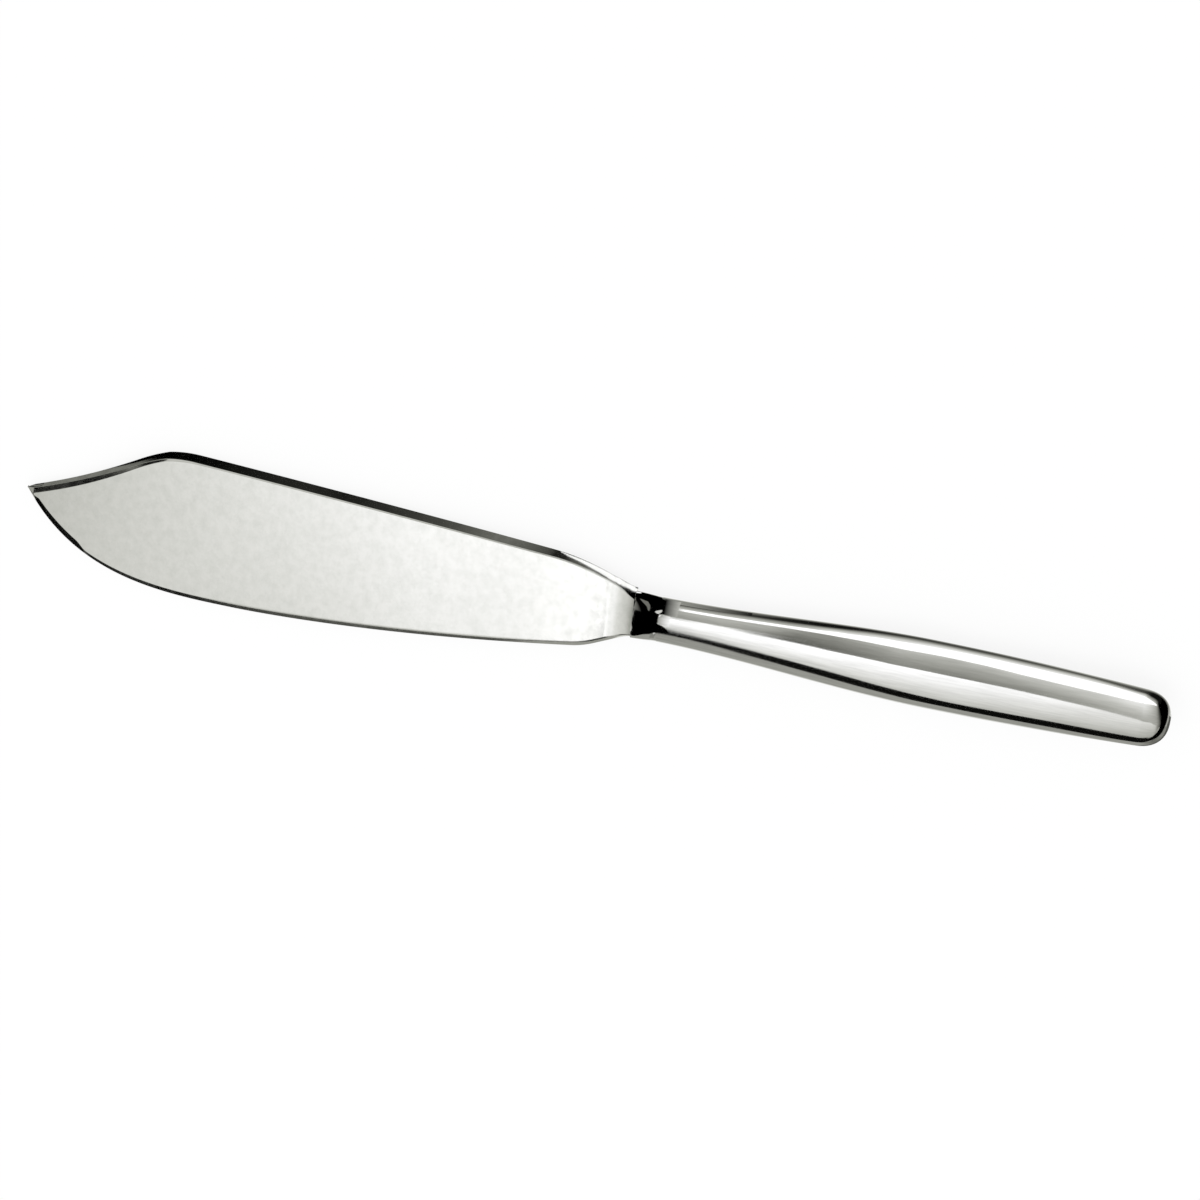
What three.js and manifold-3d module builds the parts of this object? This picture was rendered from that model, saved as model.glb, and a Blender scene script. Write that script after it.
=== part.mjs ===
// Cake knife with a forged wedge blade, a waisted bolster and a hollow two-shell handle.
import * as THREE from 'three';
import { mergeVertices } from 'three/addons/utils/BufferGeometryUtils.js';
import Module from 'manifold-3d';

// Driving dimensions in millimetres. The knife's own axes are X along the handle from tip to
// butt, zero at the handle's mouth, Y towards the spine and Z square to the blade.

// Blade outline, spine side
const bladeLength = 145.8;
const tipHeight = 1.25;
const tipFlat = 0.4;
const clipLength = 33.7;
const clipHollow = 1.25;
const clipRound = 7.2;
const spineHeight = 18.6;
const spineCrown = 0.3;
const shoulderSetback = 11.2;
const shoulderHeight = 11.5;
const shoulderRound = 9.5;
const neckTop = 5.1;
const neckBottom = 5.7;
const neckRound = 2.7;

// Blade outline, edge side
const bellyFromTip = 50.9;
const bellyDepth = 21;
const bellyAxis = 76.8;
const bellyExponent = 3;
const edgeExponent = 1.7;
const heelSetback = 10.9;
const heelDepth = 11.5;
const heelRound = 2.6;

// Blade section
const spineThickness = 3.9;
const wedgeThickness = 0.7;
const edgeThickness = 0.3;
const edgeBevel = 1.25;
const tipBevel = 3.4;
const tipBevelEnd = 2.4;
const tipBevelLength = 12;
const tipBevelFade = 2.5;
const tipTaper = 3.5;
const edgeShare = 0.5;
const clipShare = 0.4;
const spineBevel = 0.25;
const spineBevelDrop = 0.15;
const clipBevel = 1.4;
const clipBevelDrop = 0.4;
const clipBevelLength = 10;
const clipBevelFade = 36;
const scoopLength = 6.2;
const scoopRise = 1.05;

// Tang
const tangLength = 56;
const tangWidth = 6;
const tangEndWidth = 3.6;
const tangThickness = 2.2;
const tangEndThickness = 1.6;
const tangRoot = 0.8;
const cementCover = 26;

// Bolster
const bolsterLength = 6.2;
const bolsterFrontThickness = 4.5;
const bolsterStep = 0.1;
const bolsterFrontExponent = 3;
const bolsterCone = 0.8;
const spigotLength = 5;

// Handle
const handleLength = 117.8;
const mouthWidth = 11.2;
const bellyWidth = 17.55;
const buttWidth = 13.8;
const mouthDepth = 3.8;
const bellyShellDepth = 4.9;
const buttDepth = 4;
const handleBelly = 62.4;
const buttRound = 6.8;
const buttExponent = 2.45;
const shellWall = 0.9;

// Joints and clearances
const seamBraze = 0.2;
const mouthBraze = 0.15;
const jointGap = 0.05;
const slotClearance = 0.1;
const spigotClearance = 0.15;
const cementClearance = 0.15;

// Mesh fineness
const bladeSteps = 64;
const shellSteps = 34;
const arcSteps = 14;
const ringSteps = 36;
const bolsterSteps = 10;
const cementSteps = 12;

// Places along X that follow from the dimensions
const bolsterFront = -bolsterLength;
const tipX = bolsterFront - bladeLength;
const clipX = tipX + clipLength;
const bellyX = tipX + bellyFromTip;
const shoulderX = bolsterFront - shoulderSetback;
const heelX = bolsterFront - heelSetback;
const seamHalf = seamBraze / 2 + jointGap;
const mouthGap = mouthBraze + 2 * jointGap;
const tangEnd = bolsterFront + tangLength;

const wasm = await Module();
wasm.setup();

function smooth(t) {
  const u = THREE.MathUtils.clamp(t, 0, 1);
  return u * u * (3 - 2 * u);
}

// A corner between two straight stretches, rounded by a parabola over `round` on each side.
function roundedCorner(x, corner, slopeBefore, slopeAfter, round) {
  const d = x - corner.x;
  if (d <= -round) return corner.y + slopeBefore * d;
  if (d >= round) return corner.y + slopeAfter * d;
  return corner.y + slopeBefore * d + (slopeAfter - slopeBefore) * (d + round) ** 2 / (4 * round);
}

function slope(from, to) {
  return (to.y - from.y) / (to.x - from.x);
}

// A shallow bow of the given height between two places, zero outside them.
function bow(x, from, to, height) {
  const t = THREE.MathUtils.clamp((x - from) / (to - from), 0, 1);
  return height * 4 * t * (1 - t);
}

// Height of the spine side of the outline: clip, rounded corner, crowned spine, shoulder and neck.
function topEdge(x) {
  const tip = new THREE.Vector2(tipX, tipHeight);
  const corner = new THREE.Vector2(clipX, spineHeight);
  const shoulder = new THREE.Vector2(shoulderX, shoulderHeight);
  const neck = new THREE.Vector2(bolsterFront + neckRound / 2, neckTop);
  const clipSlope = slope(tip, corner);
  const spineSlope = slope(corner, shoulder);
  const neckSlope = slope(shoulder, neck);
  const bows = bow(x, tipX, clipX, -clipHollow) + bow(x, clipX, shoulderX, spineCrown);
  if (x < (clipX + shoulderX) / 2) {
    return bows + roundedCorner(x, corner, clipSlope, spineSlope, clipRound);
  }
  if (x < (shoulderX + neck.x) / 2) {
    return bows + roundedCorner(x, shoulder, spineSlope, neckSlope, shoulderRound);
  }
  return roundedCorner(x, neck, neckSlope, 0, neckRound);
}

// Height of the cutting edge: rounded belly from the tip, long shallow edge, heel and neck.
function bottomEdge(x) {
  if (x < bellyX) {
    const centre = bellyAxis - bellyDepth;
    const tipShare = ((centre - tipHeight) / bellyAxis) ** bellyExponent;
    const reach = bellyFromTip / (1 - tipShare) ** (1 / bellyExponent);
    const share = 1 - ((bellyX - x) / reach) ** bellyExponent;
    return centre - bellyAxis * share ** (1 / bellyExponent);
  }
  const heel = new THREE.Vector2(heelX, -heelDepth);
  const neck = new THREE.Vector2(bolsterFront, -neckBottom);
  const rise = bellyDepth - heelDepth;
  const along = (x - bellyX) / (heelX - bellyX);
  if (x < heelX - heelRound) return -bellyDepth + rise * along ** edgeExponent;
  const heelSlope = rise * edgeExponent / (heelX - bellyX);
  const neckSlope = slope(heel, neck);
  if (x < heelX + heelRound) return roundedCorner(x, heel, heelSlope, neckSlope, heelRound);
  return roundedCorner(x, neck, neckSlope, 0, neckRound);
}

// Half the blade's thickness: a flat wedge from spine to edge, with a scoop up to the bolster.
function bladeHalf(x, y) {
  const grade = (spineThickness - wedgeThickness) / (spineHeight + bellyDepth);
  const scoop = Math.max(0, (x - bolsterFront + scoopLength) / scoopLength);
  return (wedgeThickness + grade * (y + bellyDepth)) / 2 + scoopRise * scoop ** 2;
}

// Share of the bolster's growth at t: an even cone that rounds off into the handle.
function bolsterSwell(t) {
  const steepest = 2 / (1 + bolsterCone);
  const rounding = Math.max(0, t - bolsterCone) ** 2 / (2 * (1 - bolsterCone));
  return steepest * (t - rounding);
}

// Half width and half-shell depth of the handle at x, with its skin moved inwards by `inset`.
function handleSize(x, inset) {
  const swell = smooth(x / handleBelly);
  const fall = Math.max(0, (x - handleBelly) / (handleLength - handleBelly)) ** 2;
  const width = mouthWidth + (bellyWidth - mouthWidth) * swell - (bellyWidth - buttWidth) * fall;
  const depth = mouthDepth + (bellyShellDepth - mouthDepth) * swell
    - (bellyShellDepth - buttDepth) * fall;
  const left = (handleLength - inset - x) / (buttRound - inset);
  const away = 1 - THREE.MathUtils.clamp(left, 0, 1);
  const cap = (1 - away ** buttExponent) ** (1 / buttExponent);
  return { half: (width / 2 - inset) * cap, depth: (depth - inset) * cap };
}

// A ring of points square to X: a superellipse with its own centre height.
function oval(x, centreY, half, depth, exponent) {
  const ring = [];
  for (let i = 0; i < ringSteps; i++) {
    const angle = 2 * Math.PI * i / ringSteps;
    const c = Math.cos(angle);
    const s = Math.sin(angle);
    const y = centreY + half * Math.sign(c) * Math.abs(c) ** (2 / exponent);
    const z = depth * Math.sign(s) * Math.abs(s) ** (2 / exponent);
    ring.push(new THREE.Vector3(x, y, z));
  }
  return ring;
}

// A ring with four corners, square to X.
function rectangle(x, width, thickness) {
  const corners = [[1, -1], [1, 1], [-1, 1], [-1, -1]];
  return corners.map(([y, z]) => new THREE.Vector3(x, y * width / 2, z * thickness / 2));
}

function geometryFrom(points, faces) {
  const geometry = new THREE.BufferGeometry();
  geometry.setFromPoints(points);
  geometry.setIndex(faces.flat());
  return geometry;
}

// A closed solid through rings that run along +X, each turning from +Y to +Z.
function loft(rings) {
  const count = rings[0].length;
  const faces = [];
  for (let i = 0; i + 1 < rings.length; i++) {
    for (let j = 0; j < count; j++) {
      const a = i * count + j;
      const b = i * count + (j + 1) % count;
      faces.push([a, b, a + count], [b, b + count, a + count]);
    }
  }
  const last = (rings.length - 1) * count;
  for (let j = 1; j + 1 < count; j++) {
    faces.push([0, j + 1, j], [last, last + j, last + j + 1]);
  }
  return geometryFrom(rings.flat(), faces);
}

function toSolid(geometry) {
  const plain = geometry.clone();
  plain.deleteAttribute('normal');
  plain.deleteAttribute('uv');
  const merged = mergeVertices(plain);
  return new wasm.Manifold(new wasm.Mesh({
    numProp: 3,
    vertProperties: new Float32Array(merged.attributes.position.array),
    triVerts: new Uint32Array(merged.index.array),
  }));
}

function fromSolid(solid) {
  const mesh = solid.getMesh();
  const geometry = new THREE.BufferGeometry();
  geometry.setAttribute('position', new THREE.BufferAttribute(mesh.vertProperties, 3));
  geometry.setIndex(new THREE.BufferAttribute(mesh.triVerts, 1));
  return geometry;
}

function named(name, geometry, material) {
  const mesh = new THREE.Mesh(geometry, material);
  mesh.name = name;
  return mesh;
}

function metal(color, roughness) {
  return new THREE.MeshStandardMaterial({ color, roughness, metalness: 1 });
}

// The tang, wider and thicker by `clearance` all round and longer by it at its end.
function tangSolid(clearance) {
  const start = bolsterFront - tangRoot;
  const end = tangEnd + clearance;
  const spare = 2 * clearance;
  return toSolid(loft([
    rectangle(start, tangWidth + spare, tangThickness + spare),
    rectangle(end, tangEndWidth + spare, tangEndThickness + spare),
  ]));
}

// One section of the blade, square to X: bevelled edge, flat faces and bevelled spine.
function bladeRing(x) {
  const middle = (topEdge(x) + bottomEdge(x)) / 2;
  const top = Math.max(topEdge(x), middle + tipFlat / 2);
  const bottom = Math.min(bottomEdge(x), middle - tipFlat / 2);
  const room = top - bottom;
  const fromTip = x - tipX;
  const tipShare = THREE.MathUtils.clamp(fromTip / tipBevelLength, 0, 1);
  const tipWidth = tipBevel + (tipBevelEnd - tipBevel) * tipShare;
  const nearTip = 1 - smooth((fromTip - tipBevelLength) / tipBevelFade);
  const onClip = 1 - smooth((fromTip - clipBevelLength) / clipBevelFade);
  const edgeWidth = Math.min(room * edgeShare, edgeBevel + (tipWidth - edgeBevel) * nearTip);
  const spineWidth = Math.min(room * clipShare, spineBevel + (clipBevel - spineBevel) * onClip);
  const drop = spineBevelDrop + (clipBevelDrop - spineBevelDrop) * onClip;
  const low = bottom + edgeWidth;
  const high = top - spineWidth;
  const edge = edgeThickness / 2;
  // The thickness falls off at the tip, where the height runs out.
  const taper = THREE.MathUtils.clamp(room / tipTaper, 0, 1);
  const profile = [
    [top, edge + (bladeHalf(x, top) - drop - edge) * taper],
    [high, edge + (bladeHalf(x, high) - edge) * taper],
    [low, edge + (bladeHalf(x, low) - edge) * taper],
    [bottom, edge],
  ];
  const front = profile.map(([y, z]) => new THREE.Vector3(x, y, z));
  const back = profile.map(([y, z]) => new THREE.Vector3(x, y, -z)).reverse();
  return [...front, ...back];
}

function makeBlade() {
  const rings = [];
  for (let i = 0; i <= bladeSteps; i++) {
    // Sections crowd together towards the tip and the bolster, where the outline turns.
    const share = (1 - Math.cos(Math.PI * i / bladeSteps)) / 2;
    rings.push(bladeRing(tipX + bladeLength * share));
  }
  const geometry = fromSolid(toSolid(loft(rings)).add(tangSolid(0)));
  return named('blade', geometry, metal(0xd3d4cf, 0.14));
}

// Half sizes of the spigot that enters the handle's mouth.
function spigotSize() {
  const mouth = handleSize(0, shellWall);
  return {
    half: mouth.half - spigotClearance,
    depth: mouth.depth + seamHalf - spigotClearance,
  };
}

function makeBolster() {
  const start = bolsterFront + jointGap;
  const end = -mouthGap;
  const mouth = handleSize(0, 0);
  const top = topEdge(bolsterFront) + bolsterStep;
  const bottom = bottomEdge(bolsterFront) - bolsterStep;
  const frontHalf = (top - bottom) / 2;
  const frontDepth = bolsterFrontThickness / 2;
  const rings = [];
  for (let i = 0; i <= bolsterSteps; i++) {
    const t = i / bolsterSteps;
    const swell = bolsterSwell(t);
    const half = frontHalf + (mouth.half - frontHalf) * swell;
    const depth = frontDepth + (mouth.depth + seamHalf - frontDepth) * swell;
    const centre = (top + bottom) / 2 * (1 - swell);
    const exponent = bolsterFrontExponent + (2 - bolsterFrontExponent) * swell;
    rings.push(oval(start + (end - start) * t, centre, half, depth, exponent));
  }
  const spigot = spigotSize();
  const spigotRings = [(start + end) / 2, spigotLength].map(
    (x) => oval(x, 0, spigot.half, spigot.depth, 2),
  );
  const body = toSolid(loft(rings)).add(toSolid(loft(spigotRings)));
  const geometry = fromSolid(body.subtract(tangSolid(slotClearance)));
  return named('bolster', geometry, metal(0xc9cac4, 0.14));
}

// Places along the handle as shares of its length, closer together towards the butt.
function handleShares() {
  return Array.from({ length: shellSteps + 1 }, (_, i) => Math.sin(Math.PI / 2 * i / shellSteps));
}

// Half of the handle's skin as rows of points from mouth to butt, on one side of the seam.
function shellSkin(inset, side) {
  const rows = [];
  for (const share of handleShares()) {
    const x = share * (handleLength - inset);
    const { half, depth } = handleSize(x, inset);
    const row = [];
    for (let j = 0; j <= arcSteps; j++) {
      const angle = Math.PI * j / arcSteps;
      const y = half * Math.cos(angle) * side;
      const z = (seamHalf + depth * Math.sin(angle)) * side;
      row.push(new THREE.Vector3(x, y, z));
    }
    rows.push(row);
  }
  // The skin closes to one point at the butt.
  rows[shellSteps].fill(new THREE.Vector3(handleLength - inset, 0, seamHalf * side));
  return rows;
}

// A half shell: outer skin, inner skin, the rims along the seam and the rim at the mouth.
function makeShell(name, side, color) {
  const outer = shellSkin(0, side).flat();
  const inner = shellSkin(shellWall, side).flat();
  const across = arcSteps + 1;
  const skin = outer.length;
  const faces = [];
  const quad = (a, b, c, d) => faces.push([a, b, c], [a, c, d]);
  for (let i = 0; i < shellSteps; i++) {
    for (let j = 0; j < arcSteps; j++) {
      const a = i * across + j;
      quad(a, a + 1, a + across + 1, a + across);
      quad(skin + a, skin + a + across, skin + a + across + 1, skin + a + 1);
    }
    const first = i * across;
    const last = first + arcSteps;
    quad(first, first + across, skin + first + across, skin + first);
    quad(last, skin + last, skin + last + across, last + across);
  }
  for (let j = 0; j < arcSteps; j++) {
    quad(j, skin + j, skin + j + 1, j + 1);
  }
  const geometry = closeUp(geometryFrom([...outer, ...inner], faces));
  return named(name, geometry, metal(color, 0.1));
}

// Merges equal points and drops the triangles that have shrunk to a line.
function closeUp(geometry) {
  const merged = mergeVertices(geometry);
  const faces = [];
  for (let i = 0; i < merged.index.count; i += 3) {
    const face = [0, 1, 2].map((k) => merged.index.getX(i + k));
    if (new Set(face).size === 3) faces.push(...face);
  }
  merged.setIndex(faces);
  return merged;
}

function makeSeamBraze() {
  const outer = [];
  const inner = [];
  for (const share of handleShares().slice(0, -1)) {
    const outX = share * handleLength;
    const inX = share * (handleLength - shellWall);
    outer.push(new THREE.Vector2(outX, handleSize(outX, 0).half));
    inner.push(new THREE.Vector2(inX, handleSize(inX, shellWall).half));
  }
  const mirrored = (points) => points.map((p) => new THREE.Vector2(p.x, -p.y)).reverse();
  const outline = new THREE.Shape([
    ...outer,
    new THREE.Vector2(handleLength, 0),
    ...mirrored(outer),
    ...inner.map((p) => new THREE.Vector2(p.x, -p.y)),
    new THREE.Vector2(handleLength - shellWall, 0),
    ...[...inner].reverse(),
  ]);
  const geometry = new THREE.ExtrudeGeometry(outline, { depth: seamBraze, bevelEnabled: false });
  const mesh = named('seam_braze', geometry, metal(0xbfc0b8, 0.2));
  mesh.position.z = -seamBraze / 2;
  return mesh;
}

function makeMouthBraze() {
  const mouth = handleSize(0, 0);
  const spigot = spigotSize();
  const ring = new THREE.Shape();
  ring.absellipse(0, 0, mouth.half, mouth.depth + seamHalf, 0, 2 * Math.PI);
  const bore = new THREE.Path();
  const boreHalf = spigot.half + spigotClearance;
  const boreDepth = spigot.depth + spigotClearance;
  bore.absellipse(0, 0, boreHalf, boreDepth, 0, 2 * Math.PI, true);
  ring.holes.push(bore);
  const geometry = new THREE.ExtrudeGeometry(ring, {
    depth: mouthBraze,
    bevelEnabled: false,
    curveSegments: ringSteps,
  });
  const mesh = named('mouth_braze', geometry, metal(0xbfc0b8, 0.2));
  // Turned so that the ring's width lies along Y and its thickness along X.
  mesh.rotation.set(Math.PI / 2, Math.PI / 2, 0);
  mesh.position.x = -mouthGap + jointGap;
  return mesh;
}

function makeCement() {
  const start = spigotLength + 2 * cementClearance;
  const rings = [];
  for (let i = 0; i <= cementSteps; i++) {
    const x = start + (tangEnd + cementCover - start) * i / cementSteps;
    const { half, depth } = handleSize(x, shellWall + cementClearance);
    rings.push(oval(x, 0, half, depth, 2));
  }
  const geometry = fromSolid(toSolid(loft(rings)).subtract(tangSolid(slotClearance)));
  const material = new THREE.MeshStandardMaterial({ color: 0xb9ad97, roughness: 0.9 });
  return named('tang_cement', geometry, material);
}

const knife = new THREE.Group();
knife.add(
  makeBlade(),
  makeBolster(),
  makeShell('handle_front_shell', 1, 0xd6d7d2),
  makeShell('handle_back_shell', -1, 0xcfd0cb),
  makeSeamBraze(),
  makeMouthBraze(),
  makeCement(),
);

// The knife lies on its side: the belly of the handle and the tip of the blade touch the table.
const bellyDrop = seamHalf + bellyShellDepth - bladeHalf(tipX, tipHeight);
knife.rotation.y = -Math.asin(bellyDrop / (handleBelly - tipX));
const box = new THREE.Box3().setFromObject(knife, true);
const centre = box.getCenter(new THREE.Vector3());
knife.position.set(-centre.x, -centre.y, -box.min.z);

const cakeKnife = new THREE.Group();
cakeKnife.add(knife);

export default cakeKnife;
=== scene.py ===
"""Looks of a polished cake knife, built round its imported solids. All lengths are in metres."""

import math

import bpy
from mathutils import Matrix, Vector


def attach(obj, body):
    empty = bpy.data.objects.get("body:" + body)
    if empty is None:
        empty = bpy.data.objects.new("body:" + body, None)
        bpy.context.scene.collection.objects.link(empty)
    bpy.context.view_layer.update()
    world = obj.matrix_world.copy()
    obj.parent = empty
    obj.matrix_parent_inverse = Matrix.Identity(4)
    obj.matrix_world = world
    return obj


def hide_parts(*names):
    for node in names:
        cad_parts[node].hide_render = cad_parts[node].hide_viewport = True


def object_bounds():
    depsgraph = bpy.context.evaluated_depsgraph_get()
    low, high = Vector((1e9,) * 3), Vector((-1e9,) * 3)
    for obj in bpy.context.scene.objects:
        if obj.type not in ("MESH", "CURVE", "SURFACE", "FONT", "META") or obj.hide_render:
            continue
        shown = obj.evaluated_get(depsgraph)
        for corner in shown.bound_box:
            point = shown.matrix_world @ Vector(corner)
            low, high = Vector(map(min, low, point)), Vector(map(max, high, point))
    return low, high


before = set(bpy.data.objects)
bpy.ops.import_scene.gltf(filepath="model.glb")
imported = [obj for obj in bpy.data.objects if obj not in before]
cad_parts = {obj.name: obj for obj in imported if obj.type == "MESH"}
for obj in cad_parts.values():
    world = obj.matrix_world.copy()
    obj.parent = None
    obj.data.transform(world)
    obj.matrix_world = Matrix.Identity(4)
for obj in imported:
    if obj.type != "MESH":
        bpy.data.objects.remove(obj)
cad_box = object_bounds()

# The knife's own axes are X along the handle from tip to butt, zero at the handle's mouth,
# Y towards the spine and Z square to the blade.

# Blade outline, spine side
BLADE_LENGTH = 0.1458
TIP_HEIGHT = 0.00125
TIP_FLAT = 0.0004
CLIP_LENGTH = 0.0337
CLIP_HOLLOW = 0.00125
CLIP_ROUND = 0.0072
SPINE_HEIGHT = 0.0186
SPINE_CROWN = 0.0003
SHOULDER_SETBACK = 0.0112
SHOULDER_HEIGHT = 0.0115
SHOULDER_ROUND = 0.0095
NECK_TOP = 0.0051
NECK_BOTTOM = 0.0057
NECK_ROUND = 0.0027

# Blade outline, edge side
BELLY_FROM_TIP = 0.0509
BELLY_DEPTH = 0.021
BELLY_AXIS = 0.0768
BELLY_EXPONENT = 3.0
EDGE_EXPONENT = 1.7
HEEL_SETBACK = 0.0109
HEEL_DEPTH = 0.0115
HEEL_ROUND = 0.0026

# Blade section
SPINE_THICKNESS = 0.0039
WEDGE_THICKNESS = 0.0007
EDGE_THICKNESS = 0.0003
EDGE_BEVEL = 0.00125
TIP_BEVEL = 0.0034
TIP_BEVEL_END = 0.0024
TIP_BEVEL_LENGTH = 0.012
TIP_BEVEL_FADE = 0.0025
TIP_TAPER = 0.0035
EDGE_SHARE = 0.5
CLIP_SHARE = 0.4
SPINE_BEVEL = 0.00025
SPINE_BEVEL_DROP = 0.00015
CLIP_BEVEL = 0.0014
CLIP_BEVEL_DROP = 0.0004
CLIP_BEVEL_LENGTH = 0.01
CLIP_BEVEL_FADE = 0.036
SCOOP_LENGTH = 0.0062
SCOOP_RISE = 0.00105

# Tang, bolster and handle
TANG_LENGTH = 0.056
TANG_WIDTH = 0.006
TANG_END_WIDTH = 0.0036
TANG_THICKNESS = 0.0022
TANG_END_THICKNESS = 0.0016
SLOT_CLEARANCE = 0.0001
BOLSTER_LENGTH = 0.0062
BOLSTER_FRONT_THICKNESS = 0.0045
BOLSTER_STEP = 0.0001
BOLSTER_FRONT_EXPONENT = 3
BOLSTER_CONE = 0.8
SPIGOT_LENGTH = 0.005
SPIGOT_CLEARANCE = 0.00015
HANDLE_LENGTH = 0.1178
MOUTH_WIDTH = 0.0112
BELLY_WIDTH = 0.01755
BUTT_WIDTH = 0.0138
MOUTH_DEPTH = 0.0038
BELLY_SHELL_DEPTH = 0.0049
BUTT_DEPTH = 0.004
HANDLE_BELLY = 0.0624
BUTT_ROUND = 0.0068
BUTT_EXPONENT = 2.45
SHELL_WALL = 0.0009
SEAM_HALF = 0.00015
MOUTH_GAP = 0.00025
HAIRLINE = 0.000004

# Softness of the blade's corners and fineness of the meshes
SPINE_SOFT = 0.00012
BEVEL_SOFT = 0.00008
GRIND_SOFT = 0.00045
GRIND_SOFT_LENGTH = 0.013
EDGE_SOFT = 0.00006
SOFT_STEPS = 3
SOFT_LIMIT = 0.4
BLADE_STEPS = 260
BOLSTER_STEPS = 36
RING_STEPS = 96
SHELL_STEPS = 150
ARC_STEPS = 56
LOW_POINT_STEPS = 100
TANG_EXPONENT = 9
SMOOTH_ANGLE = math.radians(40)
NORMAL_WEIGHT = 100

# Places along X that follow from the dimensions
BOLSTER_FRONT = -BOLSTER_LENGTH
TIP_X = BOLSTER_FRONT - BLADE_LENGTH
CLIP_X = TIP_X + CLIP_LENGTH
BELLY_X = TIP_X + BELLY_FROM_TIP
SHOULDER_X = BOLSTER_FRONT - SHOULDER_SETBACK
HEEL_X = BOLSTER_FRONT - HEEL_SETBACK
TANG_END = BOLSTER_FRONT + TANG_LENGTH

# Camera, in the knife's axes: above the knife, leaning to the spine and swung a little to the butt
LENS_MM = 100.0
SENSOR_MM = 36.0
IMAGE_SIZE = 1200
MOUTH_PIXEL = (660.0, 619.31)
CAMERA_DISTANCE = 0.7646865
CAMERA_LEAN = math.radians(34.0)
CAMERA_SWING = math.radians(8.0)
CAMERA_ROLL = math.radians(6.984688)
CAMERA_NEAR = 0.01


def clamp(t):
    return min(max(t, 0.0), 1.0)


def smooth(t):
    u = clamp(t)
    return u * u * (3 - 2 * u)


def mix(a, b, t):
    return a + (b - a) * t


def slope(start, end):
    return (end[1] - start[1]) / (end[0] - start[0])


def rounded_corner(x, corner, slope_before, slope_after, reach):
    """A corner between two straight stretches, rounded by a parabola over `reach` on each side."""
    d = x - corner[0]
    if d <= -reach:
        return corner[1] + slope_before * d
    if d >= reach:
        return corner[1] + slope_after * d
    turn = slope_after - slope_before
    return corner[1] + slope_before * d + turn * (d + reach) ** 2 / (4 * reach)


def bow(x, start, end, height):
    """A shallow bow of the given height between two places, zero outside them."""
    t = clamp((x - start) / (end - start))
    return height * 4 * t * (1 - t)


def top_edge(x):
    """Height of the spine side of the blade: clip, corner, crowned spine, shoulder and neck."""
    tip = (TIP_X, TIP_HEIGHT)
    corner = (CLIP_X, SPINE_HEIGHT)
    shoulder = (SHOULDER_X, SHOULDER_HEIGHT)
    neck = (BOLSTER_FRONT + NECK_ROUND / 2, NECK_TOP)
    spine_slope = slope(corner, shoulder)
    neck_slope = slope(shoulder, neck)
    bows = bow(x, TIP_X, CLIP_X, -CLIP_HOLLOW) + bow(x, CLIP_X, SHOULDER_X, SPINE_CROWN)
    if x < (CLIP_X + SHOULDER_X) / 2:
        return bows + rounded_corner(x, corner, slope(tip, corner), spine_slope, CLIP_ROUND)
    if x < (SHOULDER_X + neck[0]) / 2:
        return bows + rounded_corner(x, shoulder, spine_slope, neck_slope, SHOULDER_ROUND)
    return rounded_corner(x, neck, neck_slope, 0.0, NECK_ROUND)


def bottom_edge(x):
    """Height of the cutting edge: rounded belly from the tip, long shallow edge, heel and neck."""
    if x < BELLY_X:
        centre = BELLY_AXIS - BELLY_DEPTH
        tip_share = ((centre - TIP_HEIGHT) / BELLY_AXIS) ** BELLY_EXPONENT
        reach = BELLY_FROM_TIP / (1 - tip_share) ** (1 / BELLY_EXPONENT)
        share = 1 - ((BELLY_X - x) / reach) ** BELLY_EXPONENT
        return centre - BELLY_AXIS * share ** (1 / BELLY_EXPONENT)
    heel = (HEEL_X, -HEEL_DEPTH)
    neck = (BOLSTER_FRONT, -NECK_BOTTOM)
    rise = BELLY_DEPTH - HEEL_DEPTH
    if x < HEEL_X - HEEL_ROUND:
        return -BELLY_DEPTH + rise * ((x - BELLY_X) / (HEEL_X - BELLY_X)) ** EDGE_EXPONENT
    heel_slope = rise * EDGE_EXPONENT / (HEEL_X - BELLY_X)
    neck_slope = slope(heel, neck)
    if x < HEEL_X + HEEL_ROUND:
        return rounded_corner(x, heel, heel_slope, neck_slope, HEEL_ROUND)
    return rounded_corner(x, neck, neck_slope, 0.0, NECK_ROUND)


def blade_half(x, y):
    """Half the blade's thickness: a flat wedge from spine to edge, with a scoop up to the bolster."""
    grade = (SPINE_THICKNESS - WEDGE_THICKNESS) / (SPINE_HEIGHT + BELLY_DEPTH)
    scoop = max(0.0, (x - BOLSTER_FRONT + SCOOP_LENGTH) / SCOOP_LENGTH)
    return (WEDGE_THICKNESS + grade * (y + BELLY_DEPTH)) / 2 + SCOOP_RISE * scoop ** 2


def bolster_swell(t):
    """Share of the bolster's growth at t: an even cone that rounds off into the handle."""
    steepest = 2 / (1 + BOLSTER_CONE)
    rounding = max(0.0, t - BOLSTER_CONE) ** 2 / (2 * (1 - BOLSTER_CONE))
    return steepest * (t - rounding)


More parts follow.
